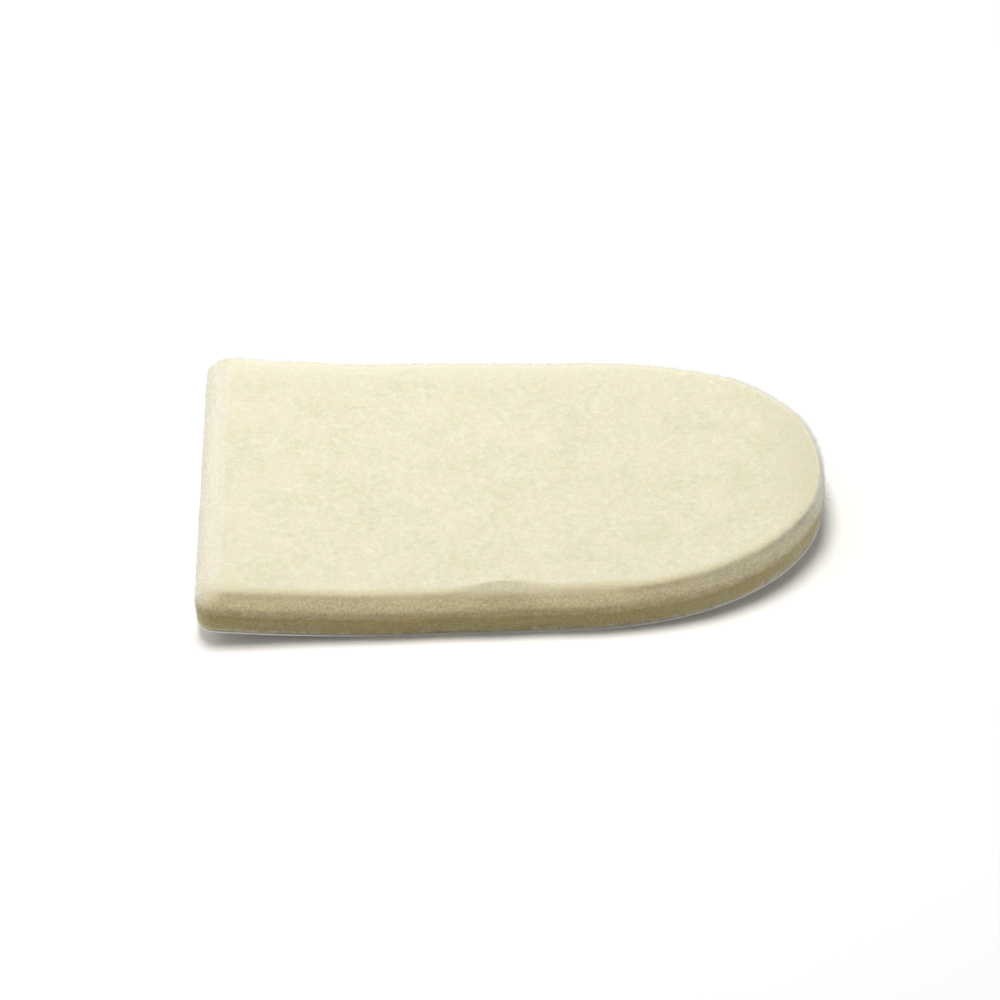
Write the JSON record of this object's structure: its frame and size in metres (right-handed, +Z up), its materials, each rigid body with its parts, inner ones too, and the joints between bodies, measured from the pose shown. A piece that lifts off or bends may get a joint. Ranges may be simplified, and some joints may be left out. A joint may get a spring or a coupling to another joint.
{
  "type": "heel pad",
  "caption": "Flat cushion of thick wool felt for under a heel, with a straight end, a round end and a paper-covered sticky underside.",
  "frame": {"origin": "on the surface that the pad lies on, under the middle of its length and width", "axes": "+X from the straight end to the round end, +Y across the pad, +Z up through its thickness"},
  "size_m": [0.0886, 0.0582, 0.0081],
  "materials": {
    "felt": "matt, fuzzy wool felt",
    "paper": "smooth, slightly glossy"
  },
  "bodies": {
    "root": {"felt_pad": "felt", "backing_paper": "paper"}
  },
  "joints": []
}
